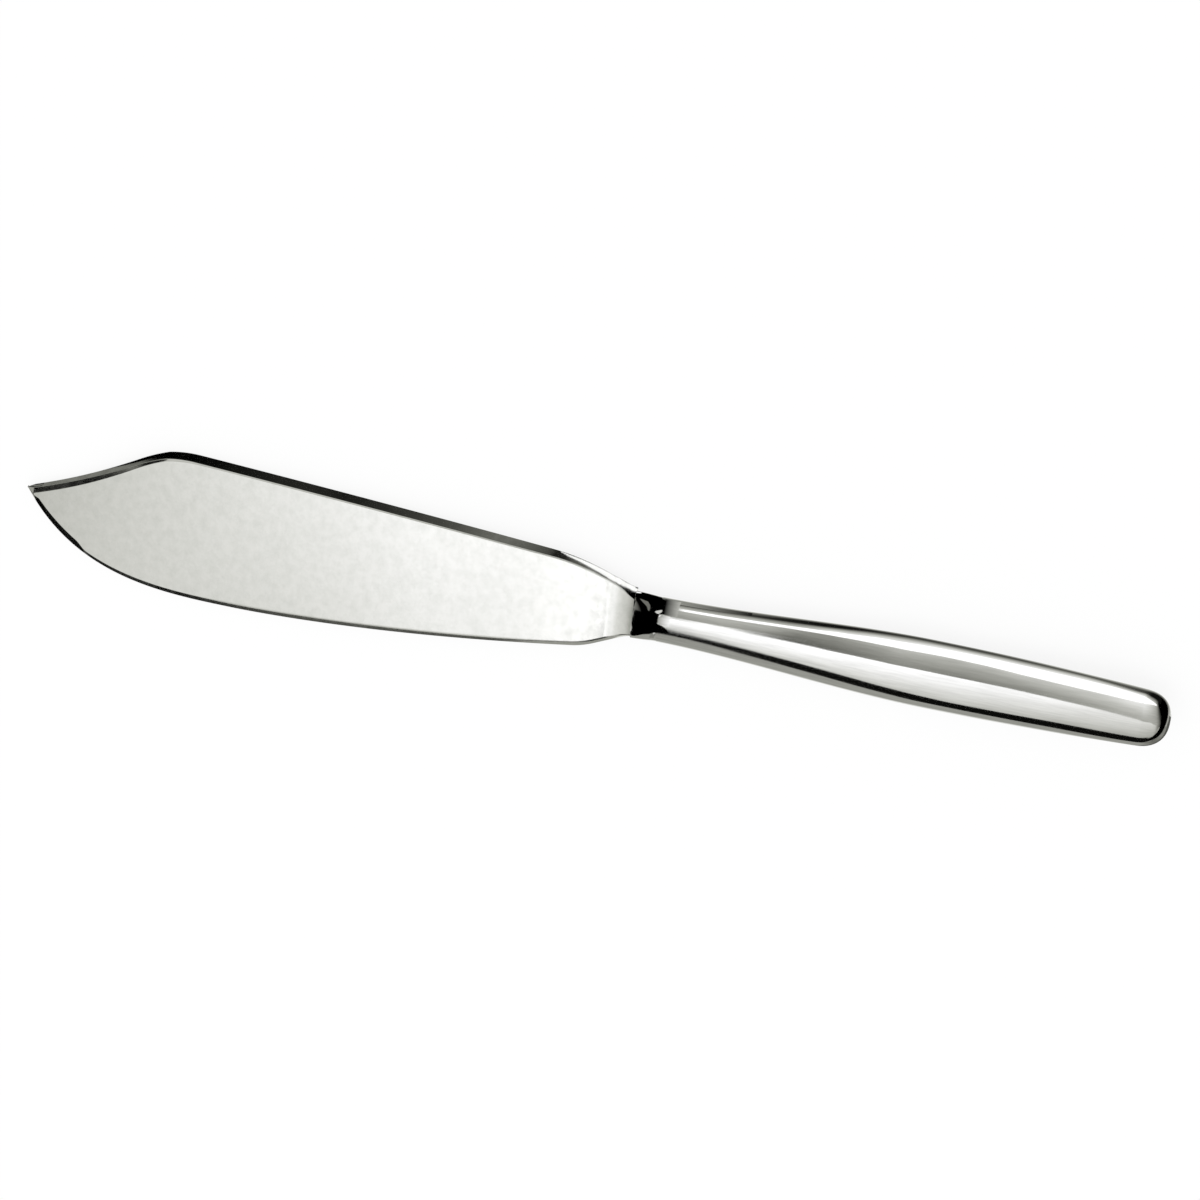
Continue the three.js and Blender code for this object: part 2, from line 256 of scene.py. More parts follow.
def handle_size(x, inset=0.0):
    """Half width and half-shell depth of the handle at x, with its skin moved inwards by `inset`."""
    swell = smooth(x / HANDLE_BELLY)
    fall = max(0.0, (x - HANDLE_BELLY) / (HANDLE_LENGTH - HANDLE_BELLY)) ** 2
    width = mix(MOUTH_WIDTH, BELLY_WIDTH, swell) - (BELLY_WIDTH - BUTT_WIDTH) * fall
    depth = mix(MOUTH_DEPTH, BELLY_SHELL_DEPTH, swell) - (BELLY_SHELL_DEPTH - BUTT_DEPTH) * fall
    away = 1 - clamp((HANDLE_LENGTH - inset - x) / (BUTT_ROUND - inset))
    cap = (1 - away ** BUTT_EXPONENT) ** (1 / BUTT_EXPONENT)
    return (width / 2 - inset) * cap, (depth - inset) * cap


# The knife lies on its side: the belly of the handle and the tip of the blade touch the floor.
belly_drop = SEAM_HALF + BELLY_SHELL_DEPTH - blade_half(TIP_X, TIP_HEIGHT)
lying = Matrix.Rotation(-math.asin(belly_drop / (HANDLE_BELLY - TIP_X)), 4, "Y")
butt = lying @ Vector((HANDLE_LENGTH, 0, -SEAM_HALF))
low_points = []
for i in range(LOW_POINT_STEPS + 1):
    x = HANDLE_LENGTH * i / LOW_POINT_STEPS
    low_points.append(lying @ Vector((x, 0, -SEAM_HALF - handle_size(x)[1])))
place = Matrix.Translation((
    cad_box[1].x - butt.x,
    cad_box[0].y + BELLY_DEPTH,
    cad_box[0].z - min(p.z for p in low_points),
)) @ lying


# Meshes

def power(value, exponent):
    return math.copysign(abs(value) ** exponent, value)


def oval(x, centre, half, depth, exponent, angles):
    """A ring of points square to X: a superellipse with its own centre height."""
    return [
        (x, centre + half * power(math.cos(a), 2 / exponent), depth * power(math.sin(a), 2 / exponent))
        for a in angles
    ]


def even_angles(count):
    return [2 * math.pi * i / count for i in range(count)]


def loft(rings, loop=False):
    """Points and faces of a closed skin through rings, with flat ends or closed on itself."""
    count = len(rings[0])
    total = len(rings)
    faces = []
    for i in range(total if loop else total - 1):
        here = i * count
        there = (i + 1) % total * count
        for j in range(count):
            k = (j + 1) % count
            faces.append((here + j, here + k, there + k, there + j))
    if not loop:
        faces.append(tuple(reversed(range(count))))
        faces.append(tuple(range((total - 1) * count, total * count)))
    return [p for ring in rings for p in ring], faces


def soften(corners, reaches):
    """Each corner of a closed outline, replaced by a short curve that starts `reach` away from it."""
    count = len(corners)
    points = []
    for i, (corner, reach) in enumerate(zip(corners, reaches)):
        here = Vector(corner)
        before = Vector(corners[i - 1]) - here
        after = Vector(corners[(i + 1) % count]) - here
        start = here + before * min(reach / before.length, SOFT_LIMIT)
        end = here + after * min(reach / after.length, SOFT_LIMIT)
        for step in range(SOFT_STEPS + 1):
            t = step / SOFT_STEPS
            points.append(start.lerp(here, t).lerp(here.lerp(end, t), t))
    return points


def blade_ring(x):
    """One section of the blade: bevelled edge, flat faces and bevelled spine, all softened."""
    middle = (top_edge(x) + bottom_edge(x)) / 2
    top = max(top_edge(x), middle + TIP_FLAT / 2)
    bottom = min(bottom_edge(x), middle - TIP_FLAT / 2)
    room = top - bottom
    from_tip = x - TIP_X
    tip_bevel = mix(TIP_BEVEL, TIP_BEVEL_END, clamp(from_tip / TIP_BEVEL_LENGTH))
    near_tip = 1 - smooth((from_tip - TIP_BEVEL_LENGTH) / TIP_BEVEL_FADE)
    on_clip = 1 - smooth((from_tip - CLIP_BEVEL_LENGTH) / CLIP_BEVEL_FADE)
    low = bottom + min(room * EDGE_SHARE, mix(EDGE_BEVEL, tip_bevel, near_tip))
    high = top - min(room * CLIP_SHARE, mix(SPINE_BEVEL, CLIP_BEVEL, on_clip))
    drop = mix(SPINE_BEVEL_DROP, CLIP_BEVEL_DROP, on_clip)
    edge = EDGE_THICKNESS / 2
    taper = clamp(room / TIP_TAPER)
    front = [
        (top, mix(edge, blade_half(x, top) - drop, taper)),
        (high, mix(edge, blade_half(x, high), taper)),
        (low, mix(edge, blade_half(x, low), taper)),
        (bottom, edge),
    ]
    back = [(y, -z) for y, z in reversed(front)]
    past_belly = smooth((x - BELLY_X + GRIND_SOFT_LENGTH) / GRIND_SOFT_LENGTH)
    reaches = [SPINE_SOFT, BEVEL_SOFT, mix(BEVEL_SOFT, GRIND_SOFT, past_belly), EDGE_SOFT]
    outline = soften(front + back, reaches + reaches[::-1])
    return [(x, y, z) for y, z in outline]


def blade_shape():
    """The blade from tip to neck, with its tapered tang in one piece."""
    rings = []
    for i in range(BLADE_STEPS + 1):
        # Sections crowd together towards the tip and the bolster, where the outline turns.
        share = (1 - math.cos(math.pi * i / BLADE_STEPS)) / 2
        rings.append(blade_ring(TIP_X + BLADE_LENGTH * share))
    angles = [math.atan2(z / TANG_THICKNESS, y / TANG_WIDTH) for x, y, z in rings[-1]]
    for x, width, thickness in (
        (BOLSTER_FRONT, TANG_WIDTH, TANG_THICKNESS),
        (TANG_END, TANG_END_WIDTH, TANG_END_THICKNESS),
    ):
        rings.append(oval(x, 0, width / 2, thickness / 2, TANG_EXPONENT, angles))
    return loft(rings)


def bolster_shape():
    """The waisted collar, its spigot in the handle and the slot that the tang goes through."""
    angles = even_angles(RING_STEPS)
    mouth_half, mouth_depth = handle_size(0)
    top = top_edge(BOLSTER_FRONT) + BOLSTER_STEP
    bottom = bottom_edge(BOLSTER_FRONT) - BOLSTER_STEP
    rings = []
    for i in range(BOLSTER_STEPS + 1):
        t = i / BOLSTER_STEPS
        swell = bolster_swell(t)
        rings.append(oval(
            mix(BOLSTER_FRONT + HAIRLINE, -MOUTH_GAP, t),
            (top + bottom) / 2 * (1 - swell),
            mix((top - bottom) / 2, mouth_half, swell),
            mix(BOLSTER_FRONT_THICKNESS / 2, mouth_depth + SEAM_HALF, swell),
            mix(BOLSTER_FRONT_EXPONENT, 2, swell),
            angles,
        ))
    inner_half, inner_depth = handle_size(0, SHELL_WALL)
    spigot = (inner_half - SPIGOT_CLEARANCE, inner_depth + SEAM_HALF - SPIGOT_CLEARANCE)
    for x in (-MOUTH_GAP, SPIGOT_LENGTH):
        rings.append(oval(x, 0, *spigot, 2, angles))
    for x in (SPIGOT_LENGTH, BOLSTER_FRONT + HAIRLINE):
        share = (x - BOLSTER_FRONT) / TANG_LENGTH
        half = mix(TANG_WIDTH, TANG_END_WIDTH, share) / 2 + SLOT_CLEARANCE
        depth = mix(TANG_THICKNESS, TANG_END_THICKNESS, share) / 2 + SLOT_CLEARANCE
        rings.append(oval(x, 0, half, depth, TANG_EXPONENT, angles))
    return loft(rings, loop=True)


def handle_places(length):
    """Places from the mouth to the butt, closer together towards the butt."""
    return [length * math.sin(math.pi / 2 * i / SHELL_STEPS) for i in range(SHELL_STEPS)]


def shell_skin(inset, side):
    """Rows of points of one half of the handle's skin, without the point at the butt."""
    rows = []
    for x in handle_places(HANDLE_LENGTH - inset):
        half, depth = handle_size(x, inset)
        arc = [math.pi * j / ARC_STEPS for j in range(ARC_STEPS + 1)]
        rows.append([
            (x, side * half * math.cos(a), side * (SEAM_HALF + depth * math.sin(a)))
            for a in arc
        ])
    return rows


def shell_shape(side):
    """A half shell: outer skin, inner skin, rims along the seam and the rim at the mouth."""
    across = ARC_STEPS + 1
    skin = SHELL_STEPS * across + 1
    points = []
    for inset in (0.0, SHELL_WALL):
        points += [p for row in shell_skin(inset, side) for p in row]
        points.append((HANDLE_LENGTH - inset, 0.0, side * SEAM_HALF))
    faces = []
    pole = skin - 1
    for i in range(SHELL_STEPS):
        here = i * across
        there = here + across
        last = i == SHELL_STEPS - 1
        for j in range(ARC_STEPS):
            a, b = here + j, here + j + 1
            outer = (a, b, pole) if last else (a, b, there + j + 1, there + j)
            faces.append(outer)
            faces.append(tuple(skin + k for k in reversed(outer)))
        for edge, turned in ((0, False), (ARC_STEPS, True)):
            a, b = here + edge, pole if last else there + edge
            rim = (a, b, skin + b, skin + a)
            faces.append(rim[::-1] if turned else rim)
    for j in range(ARC_STEPS):
        faces.append((j, skin + j, skin + j + 1, j + 1))
    return points, faces


def seam_shape():
    """The strip of braze between the rims of the two half shells, polished flush."""
    path = []
    for outer, inner in zip(handle_places(HANDLE_LENGTH), handle_places(HANDLE_LENGTH - SHELL_WALL)):
        path.append((outer, handle_size(outer)[0], inner, handle_size(inner, SHELL_WALL)[0]))
    tip = [(HANDLE_LENGTH, 0.0, HANDLE_LENGTH - SHELL_WALL, 0.0)]
    path += tip + [(a, -b, c, -d) for a, b, c, d in reversed(path)]
    half = SEAM_HALF - HAIRLINE
    rings = [
        [(a, b, half), (a, b, -half), (c, d, -half), (c, d, half)]
        for a, b, c, d in path
    ]
    return loft(rings)


def mouth_shape():
    """The ring of braze between the bolster's shoulder and the mouth of the handle."""
    angles = even_angles(RING_STEPS)
    half, depth = handle_size(0)
    bore_half, bore_depth = handle_size(0, SHELL_WALL)
    ends = (-MOUTH_GAP + HAIRLINE, -HAIRLINE)
    outer = [oval(x, 0, half, depth + SEAM_HALF, 2, angles) for x in ends]
    inner = [oval(x, 0, bore_half, bore_depth + SEAM_HALF, 2, angles) for x in reversed(ends)]
    return loft(outer + inner, loop=True)


# Materials: grains per metre along each axis, noise detail and the stretch of noise that is used

WAVE_GRAIN = (90.0, 90.0, 90.0)
WAVE_DETAIL = 1.0
SMUDGE_DETAIL = 4.0
SMUDGE_RANGE = (0.3, 0.62)
LINE_DETAIL = 3.0
LINE_RANGE = (0.3, 0.7)
STEEL_NOISE_ROUGHNESS = 0.6
CEMENT_GRAIN = (1500.0, 1500.0, 1500.0)
CEMENT_DETAIL = 4.0
CEMENT_NOISE_ROUGHNESS = 0.7
CEMENT_DARK = (0.56, 0.51, 0.43, 1.0)
CEMENT_PALE = (0.74, 0.69, 0.60, 1.0)
CEMENT_PIT_DEPTH = 0.0002
CEMENT_ROUGHNESS = 0.9
PAPER_GRAIN = (700.0, 700.0, 700.0)
PAPER_DETAIL = 3.0
PAPER_DARK = (0.95, 0.95, 0.95, 1.0)
PAPER_PALE = (0.97, 0.97, 0.97, 1.0)
WHITE = (1.0, 1.0, 1.0, 1.0)


def add_node(tree, kind, inputs=None, **settings):
    """A shader node with its settings, and its inputs as plain values or links."""
    node = tree.nodes.new(kind)
    for name, value in settings.items():
        setattr(node, name, value)
    for name, value in (inputs or {}).items():
        if isinstance(value, bpy.types.NodeSocket):
            tree.links.new(value, node.inputs[name])
        else:
            node.inputs[name].default_value = value
    return node


def new_material(name):
    material = bpy.data.materials.new(name)
    material.use_nodes = True
    material.node_tree.nodes.clear()
    return material, material.node_tree


def noise(tree, place_socket, stretch, detail, rough=0.5):
    """Noise with its own grain along each axis, in grains per metre."""
    mapping = add_node(tree, "ShaderNodeMapping", {"Vector": place_socket, "Scale": stretch})
    return add_node(tree, "ShaderNodeTexNoise", {
        "Vector": mapping.outputs["Vector"],
        "Scale": 1.0,
        "Detail": detail,
        "Roughness": rough,
    }).outputs["Fac"]


def map_range(tree, value, low, high, to_low, to_high):
    return add_node(tree, "ShaderNodeMapRange", {
        "Value": value,
        "From Min": low,
        "From Max": high,
        "To Min": to_low,
        "To Max": to_high,
    }).outputs["Result"]


def polished_steel(name, colour, dull, roughness, grain, smudge, wave_depth, grain_depth):
    """Mirror-polished steel: smudges in its colour, polishing lines and slow waves in its surface."""
    material, tree = new_material(name)
    spot = add_node(tree, "ShaderNodeTexCoord").outputs["Object"]
    smudges = noise(tree, spot, smudge, SMUDGE_DETAIL, STEEL_NOISE_ROUGHNESS)
    lines = noise(tree, spot, grain, LINE_DETAIL, STEEL_NOISE_ROUGHNESS)
    waves = noise(tree, spot, WAVE_GRAIN, WAVE_DETAIL)
    tone = add_node(tree, "ShaderNodeMix", {
        "Factor": map_range(tree, smudges, *SMUDGE_RANGE, 0.0, 1.0),
        "A": (*dull, 1.0),
        "B": (*colour, 1.0),
    }, data_type="RGBA")
    wavy = add_node(tree, "ShaderNodeBump", {
        "Height": waves,
        "Strength": 1.0,
        "Distance": wave_depth,
    })
    lined = add_node(tree, "ShaderNodeBump", {
        "Height": lines,
        "Strength": 1.0,
        "Distance": grain_depth,
        "Normal": wavy.outputs["Normal"],
    })
    shader = add_node(tree, "ShaderNodeBsdfPrincipled", {
        "Metallic": 1.0,
        "Base Color": tone.outputs["Result"],
        "Roughness": map_range(tree, lines, *LINE_RANGE, *roughness),
        "Normal": lined.outputs["Normal"],
    })
    add_node(tree, "ShaderNodeOutputMaterial", {"Surface": shader.outputs["BSDF"]})
    return material


def matt_cement(name):
    """Hard cement with a speckled, pitted surface."""
    material, tree = new_material(name)
    spot = add_node(tree, "ShaderNodeTexCoord").outputs["Object"]
    speckle = noise(tree, spot, CEMENT_GRAIN, CEMENT_DETAIL, CEMENT_NOISE_ROUGHNESS)
    tone = add_node(tree, "ShaderNodeMix", {
        "Factor": speckle,
        "A": CEMENT_DARK,
        "B": CEMENT_PALE,
    }, data_type="RGBA")
    pits = add_node(tree, "ShaderNodeBump", {"Height": speckle, "Distance": CEMENT_PIT_DEPTH})
    shader = add_node(tree, "ShaderNodeBsdfPrincipled", {
        "Base Color": tone.outputs["Result"],
        "Roughness": CEMENT_ROUGHNESS,
        "Normal": pits.outputs["Normal"],
    })
    add_node(tree, "ShaderNodeOutputMaterial", {"Surface": shader.outputs["BSDF"]})
    return material


def build_piece(name, shape, nodes, material):
    """A smooth-shaded mesh in the part's frame that stands for CAD nodes and rides on the part."""
    points, faces = shape
    mesh = bpy.data.meshes.new(name)
    mesh.from_pydata([place @ Vector(p) for p in points], [], faces)
    mesh.update()
    mesh.shade_smooth()
    mesh.set_sharp_from_angle(angle=SMOOTH_ANGLE)
    mesh.materials.append(material)
    piece = bpy.data.objects.new(name, mesh)
    bpy.context.scene.collection.objects.link(piece)
    weighted = piece.modifiers.new("weighted normals", "WEIGHTED_NORMAL")
    weighted.weight = NORMAL_WEIGHT
    weighted.keep_sharp = True
    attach(piece, "root")
    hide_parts(*nodes)


blade_steel = polished_steel(
    "blade steel",
    colour=(0.81, 0.81, 0.795),
    dull=(0.74, 0.745, 0.725),
    roughness=(0.10, 0.16),
    grain=(420.0, 260.0, 260.0),
    smudge=(520.0, 380.0, 380.0),
    wave_depth=0.000004,
    grain_depth=0.000002,
)
bolster_steel = polished_steel(
    "bolster steel",
    colour=(0.81, 0.81, 0.805),
    dull=(0.77, 0.77, 0.765),
    roughness=(0.05, 0.09),
    grain=(300.0, 900.0, 900.0),
    smudge=(300.0, 300.0, 300.0),
    wave_depth=0.000003,
    grain_depth=0.0000004,
)
handle_steel = polished_steel(
    "handle steel",
    colour=(0.83, 0.83, 0.825),
    dull=(0.71, 0.71, 0.705),
    roughness=(0.05, 0.09),
    grain=(30.0, 1900.0, 1900.0),
    smudge=(110.0, 1300.0, 1300.0),
    wave_depth=0.000003,
    grain_depth=0.0000006,
)
braze = polished_steel(
    "braze",
    colour=(0.80, 0.80, 0.79),
    dull=(0.76, 0.76, 0.75),
    roughness=(0.06, 0.1),
    grain=(400.0, 1200.0, 1200.0),
    smudge=(400.0, 400.0, 400.0),
    wave_depth=0.000002,
    grain_depth=0.0000004,
)

build_piece("blade_body", blade_shape(), ["blade"], blade_steel)
build_piece("bolster_collar", bolster_shape(), ["bolster"], bolster_steel)
build_piece("handle_front", shell_shape(1), ["handle_front_shell"], handle_steel)
build_piece("handle_back", shell_shape(-1), ["handle_back_shell"], handle_steel)
build_piece("seam_line", seam_shape(), ["seam_braze"], braze)
build_piece("mouth_line", mouth_shape(), ["mouth_braze"], braze)

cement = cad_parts["tang_cement"]
cement.data.materials.clear()
cement.data.materials.append(matt_cement("matt cement"))


# Camera

def build_camera():
    """The photograph's view, set in the knife's axes and then laid down with the knife."""
    back = Vector((
        math.sin(CAMERA_SWING) * math.cos(CAMERA_LEAN),
        math.sin(CAMERA_LEAN),
        math.cos(CAMERA_SWING) * math.cos(CAMERA_LEAN),
    ))
    level = Vector((0, 1, 0)).cross(back).normalized()
    upright = back.cross(level)
    right = level * math.cos(CAMERA_ROLL) + upright * math.sin(CAMERA_ROLL)
    up = upright * math.cos(CAMERA_ROLL) - level * math.sin(CAMERA_ROLL)
    pixels_per_slope = LENS_MM / SENSOR_MM * IMAGE_SIZE
    aside = (MOUTH_PIXEL[0] - IMAGE_SIZE / 2) / pixels_per_slope
    above = (IMAGE_SIZE / 2 - MOUTH_PIXEL[1]) / pixels_per_slope
    spot = CAMERA_DISTANCE * (back - aside * right - above * up)
    turn = Matrix((right, up, back)).transposed().to_4x4()
    data = bpy.data.cameras.new("camera")
    data.lens = LENS_MM
    data.sensor_width = SENSOR_MM
    data.clip_start = CAMERA_NEAR
    camera = bpy.data.objects.new("camera", data)
    camera.matrix_world = place @ Matrix.Translation(spot) @ turn
    bpy.context.scene.collection.objects.link(camera)
    bpy.context.scene.camera = camera


# Stage: floor, lamp, white surroundings and the cards that the polished metal mirrors

CARD_RADIUS = 0.5
CARD_REACH = 1.0
CARD_STEP = 0.02
CARD_STEP_ANGLE = 4.0
FLOOR_SIZE = 8.0
FLOOR_DROP = 0.00005
FLOOR_GLOW = 0.85
LAMP_SIZE = 1.2
LAMP_ENERGY = 2.0
LAMP_PLACE = (0.0, -0.3, 1.5)
LAMP_TILT = math.radians(-11)
STRIP_RISE = 0.0002
STRIP_STEPS = 24

# Strips on the floor beside the spine, as rows of (place along X, near side, far side), where the
# sides are measured outwards from the spine
SHOULDER_STRIP = [
    (-0.0248, 0.0014, 0.0015), (-0.0225, 0.0016, 0.0021), (-0.012, 0.0017, 0.0033),
    (-0.008, 0.0018, 0.0036), (-0.0052, 0.0008, 0.0023),
]
SHOULDER_GLOW = 1.3
CLIP_GLOW = 0.0
CLIP_STRIP = [(-0.1344, -0.001, 0.0), (-0.116, -0.001, 0.002)]

# Small dark card that stands upright just past the butt, as rows of (place along Y, low Z, high Z)
BLOCK_GAP = 0.0065
BLOCK_GLOW = 0.0
BLOCK_EDGES = [
    (-0.045, 0.0105, 0.0235), (-0.03, 0.008, 0.0168), (-0.021, 0.0066, 0.0134),
    (-0.015, 0.0055, 0.0124), (-0.0082, 0.0044, 0.0105), (-0.0036, 0.0036, 0.0102),
    (-0.0003, 0.002, 0.0102), (0.0023, 0.0, 0.0102), (0.0045, -0.0035, 0.0102),
    (0.008, -0.008, 0.0102), (0.0138, -0.012, 0.0102),
]

# Bright strip bent round the handle's own axis, as rows of (place along X, low angle, high angle)
HANDLE_WINDOW_RADIUS = 0.06
HANDLE_WINDOW_STEPS = 16
HANDLE_WINDOW_GLOW = 1.45
HANDLE_WINDOW = [
    (-0.002, 63.0, 78.0), (0.003, 62.5, 79.0), (0.02, 62.0, 78.0), (0.0275, 59.0, 79.0),
    (0.0375, 54.5, 82.0), (0.045, 50.5, 87.0), (0.055, 47.5, 88.0), (0.065, 50.5, 93.0),
    (0.075, 49.5, 96.0), (0.085, 44.0, 96.0), (0.095, 40.5, 94.0), (0.11, 39.0, 96.0),
    (0.114, 38.5, 90.0), (0.118, 39.0, 80.0), (0.122, 40.5, 72.0), (0.13, 43.0, 65.0),
    (0.138, 44.5, 60.5), (0.1475, 45.0, 56.0), (0.154, 47.0, 51.0),
]

# Small cards bent round the knife's own axis: a dark hood close to the neck, seven lights a little
# closer in and one far light for the clip. Each has a radius, a brightness at its first and last X,
# and rows of (angle, first X, last X).
HOOD_RADIUS = 0.0105
LIGHT_RADIUS = 0.0103
FAR_RADIUS = 0.49
SMALL_STEP_ANGLE = 4.0
SMALL_CARDS = {
    "card_hood": (HOOD_RADIUS, 0.0, 0.0, [
        (-72.0, -0.0076, -0.0068), (-58.0, -0.0092, -0.0055), (-47.0, -0.0104, -0.0036),
        (-40.0, -0.0115, -0.0008), (-36.0, -0.0119, 0.0004), (-31.0, -0.0122, 0.0021),
        (-20.0, -0.0123, 0.0018), (-9.0, -0.0122, 0.0006), (-4.0, -0.0121, -0.0007),
        (33.0, -0.0094, -0.0006), (37.0, -0.009, 0.0006), (85.0, -0.0064, 0.0006),
        (104.0, -0.008, 0.0006), (113.0, -0.008, 0.0004), (119.0, -0.008, -0.0006),
        (150.0, -0.008, -0.0011),
    ]),
    "card_neck_left": (LIGHT_RADIUS, 0.28, 0.0, [
        (-16.0, -0.0123, -0.012), (-8.0, -0.0122, -0.0112), (2.0, -0.0119, -0.009),
        (20.0, -0.0106, -0.0084), (42.0, -0.009, -0.0078),
    ]),
    "card_neck_haze": (LIGHT_RADIUS, 0.19, 0.19, [
        (28.0, -0.0052, -0.0048), (42.0, -0.0047, -0.0036), (56.0, -0.0054, -0.003),
        (72.0, -0.0056, -0.0032),
    ]),
    "card_neck_glint": (LIGHT_RADIUS, 0.75, 0.75, [
        (35.0, -0.0013, -0.0006), (39.0, -0.002, -0.0004), (43.0, -0.0016, -0.0001),
        (49.0, -0.0008, 0.0), (52.0, -0.0003, 0.0),
    ]),
    "card_neck_band": (LIGHT_RADIUS, 0.4, 1.2, [
        (-5.0, -0.0002, 0.002), (0.0, -0.0007, 0.002), (20.0, -0.0007, 0.002), (32.0, 0.0, 0.002),
    ]),
    "card_neck_right": (LIGHT_RADIUS, 0.0, 0.55, [
        (36.0, 0.0005, 0.0036), (85.0, 0.0005, 0.0036), (112.0, 0.0003, 0.0036),
        (126.0, -0.0001, 0.0036),
    ]),
    "card_neck_top": (LIGHT_RADIUS, 0.34, 0.01, [(100.0, 0.0036, 0.02), (128.0, 0.0036, 0.02)]),
    "card_neck_rim": (LIGHT_RADIUS, 0.26, 0.26, [
        (-72.0, -0.0026, -0.0012), (-64.0, -0.0031, -0.0012), (-55.0, -0.0037, -0.0012),
        (-50.0, -0.004, -0.0013),
    ]),
    "card_clip_light": (FAR_RADIUS, 0.3, 0.3, [(-9.0, -0.525, -0.474), (-1.5, -0.525, -0.474)]),
}
END_GLOW = 0.4
WHITE_GLOW = 1.2
DIM_RED = 0.99
DIM_BLUE = 0.875

# The cards stand in a ring round the X axis. Their edges are given as (place along X, angle from
# straight up towards the spine side), and their glow as (place along X, brightness).
FLOOR_RIM = [(0.0, 248.0)]
SIDE_RIM = [(0.0, 213.0)]
UNDER_EDGE = [(0.0, -112.0)]
SHADE_LOW = [
    (-0.34, -90.0), (-0.28, -74.0), (-0.22, -67.0), (-0.16, -67.0), (-0.1, -76.0), (-0.055, -85.0),
    (-0.035, -49.0), (-0.022, -59.0), (-0.0085, -64.0), (0.035, -73.5), (0.065, -78.5), (0.13, -81.0),
    (0.16, -87.0), (0.2, -84.0), (0.33, -80.0), (0.56, -76.0),
]
SHADE_HIGH = [
    (-0.4, -62.0), (-0.34, -70.0), (-0.28, -60.0), (-0.22, -53.0), (-0.16, -53.0), (-0.1, -62.0),
    (-0.06, -70.0), (-0.052, -46.0), (-0.043, -20.0), (-0.035, -33.0), (-0.026, -38.5),
    (-0.012, -43.0), (0.035, -54.0), (0.08, -60.5), (0.13, -59.0), (0.165, -62.5), (0.375, -58.0),
    (0.425, -49.0), (0.56, -38.0),
]
PANEL_HIGH = [
    (-0.085, -31.0), (-0.07, -27.0), (-0.054, -22.0), (-0.048, 22.0), (-0.044, 21.0), (-0.042, 18.0),
    (-0.04, 14.5), (-0.029, 8.0), (-0.005, 1.0), (0.035, -4.0), (0.11, -5.0), (0.15, -9.5),
    (0.175, -17.0), (0.3, -18.0), (0.425, -27.0),
]
WINDOW_LOW = [
    (-0.36, 24.0), (-0.3, 61.0), (-0.045, 61.0), (-0.037, 66.0), (-0.022, 62.0), (-0.005, 53.0),
    (0.035, 44.0), (0.08, 48.0), (0.13, 37.0), (0.185, 35.0), (0.25, 40.0), (0.5, 46.0),
]
WINDOW_HIGH = [
    (-0.05, 82.0), (-0.042, 79.0), (-0.034, 82.0), (-0.02, 78.0), (0.015, 82.0), (0.08, 92.0),
    (0.16, 93.0), (0.19, 84.0), (0.22, 69.0), (0.28, 60.0), (0.37, 53.0),
]
DARK_LOW = [
    (-0.5, 158.0), (-0.36, 146.0), (-0.2, 135.0), (-0.07, 134.0), (-0.05, 118.0), (-0.02, 117.0),
    (0.0, 128.0), (0.02, 139.0), (0.06, 147.0), (0.15, 147.0), (0.17, 142.0), (0.195, 113.0),
    (0.28, 97.0), (0.5, 86.0),
]
DARK_HIGH = [
    (-0.42, 178.0), (-0.3, 162.0), (-0.2, 155.0), (-0.07, 155.0), (-0.045, 130.0), (-0.033, 134.0),
    (-0.015, 149.0), (0.02, 156.0), (0.06, 160.0), (0.1, 161.0), (0.15, 151.0), (0.2, 139.0),
    (0.375, 150.0), (0.56, 165.0),
]

UNDER_GLOW = [
    (-0.42, 0.0), (-0.38, 0.38), (0.19, 0.36), (0.25, 0.26), (0.35, 0.17), (0.55, 0.28), (0.9, 0.26),
]
SHADE_GLOW = [
    (-0.21, 0.004), (-0.17, 0.08), (-0.07, 0.08), (-0.052, 0.004), (0.25, 0.004), (0.3, 0.4),
]
PANEL_LOW_GLOW = [
    (-0.6, 0.35), (-0.55, 0.2), (-0.36, 0.2), (-0.335, 0.4), (-0.27, 0.7), (-0.2, 0.55),
    (-0.13, 0.42), (-0.09, 0.5), (-0.06, 0.6), (-0.044, 0.76), (-0.037, 0.76), (0.13, 0.56),
    (0.185, 0.45), (0.4, 0.45), (0.485, 0.3), (0.6, 0.1), (0.7, 0.0), (0.8, 0.35),
]
PANEL_HIGH_GLOW = [
    (-0.6, 0.35), (-0.55, 0.2), (-0.36, 0.2), (-0.335, 0.45), (-0.27, 0.73), (-0.2, 1.14),
    (-0.13, 1.48), (-0.084, 1.38), (-0.06, 2.3), (-0.04, 1.6), (0.12, 1.25), (0.15, 1.05),
    (0.18, 0.87), (0.33, 0.8), (0.425, 0.68), (0.485, 0.33), (0.6, 0.15), (0.7, 0.0), (0.8, 0.4),
]
MIDDLE_LOW_GLOW = [
    (-0.6, 0.35), (-0.55, 0.0), (-0.38, 0.0), (-0.35, 0.5), (-0.06, 0.5), (-0.048, 0.45),
    (-0.041, 0.42), (-0.037, 0.24), (-0.03, 0.12), (0.0, 0.15), (0.035, 0.28), (0.11, 0.28),
    (0.17, 0.46), (0.3, 0.5), (0.45, 0.44), (0.7, 0.0), (0.8, 0.4),
]
MIDDLE_HIGH_GLOW = [
    (-0.6, 0.35), (-0.55, 0.0), (-0.38, 0.0), (-0.35, 0.8), (-0.06, 0.6), (-0.048, 0.55),
    (-0.041, 0.52), (-0.037, 0.36), (-0.005, 0.47), (0.035, 0.64), (0.08, 0.64), (0.16, 0.8),
    (0.185, 1.1), (0.28, 0.84), (0.425, 0.52), (0.6, 0.0), (0.7, 0.0), (0.8, 0.45),
]
